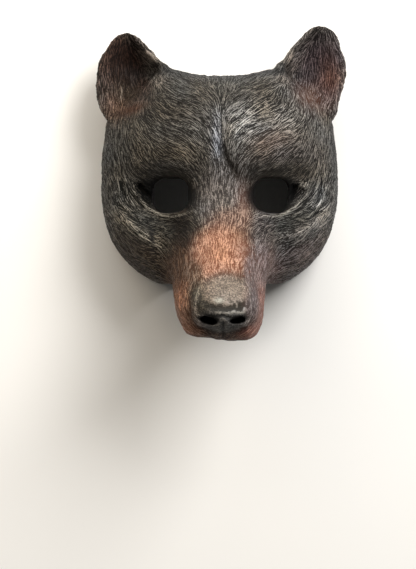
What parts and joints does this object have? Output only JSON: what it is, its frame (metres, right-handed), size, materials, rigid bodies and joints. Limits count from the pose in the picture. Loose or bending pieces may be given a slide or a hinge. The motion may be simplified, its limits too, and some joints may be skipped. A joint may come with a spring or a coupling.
{
  "type": "bear mask",
  "caption": "Rigid upper-face bear mask, one thin cast shell with ears, pierced eyes and an open mouth edge, resting face up on its rear rim.",
  "frame": {"origin": "middle of the bounding box at its lowest plane, the rear rim", "axes": "+Z out of the face, +Y towards the ears, +X towards the right of someone looking at the face"},
  "size_m": [0.2002, 0.248, 0.168],
  "materials": {
    "painted_resin": "cast resin painted dark brown and grey-black, dry-brushed light on the carved fur, rust brown on the muzzle and inside the ears"
  },
  "bodies": {
    "root": {"mask_shell": "painted_resin"}
  },
  "joints": []
}
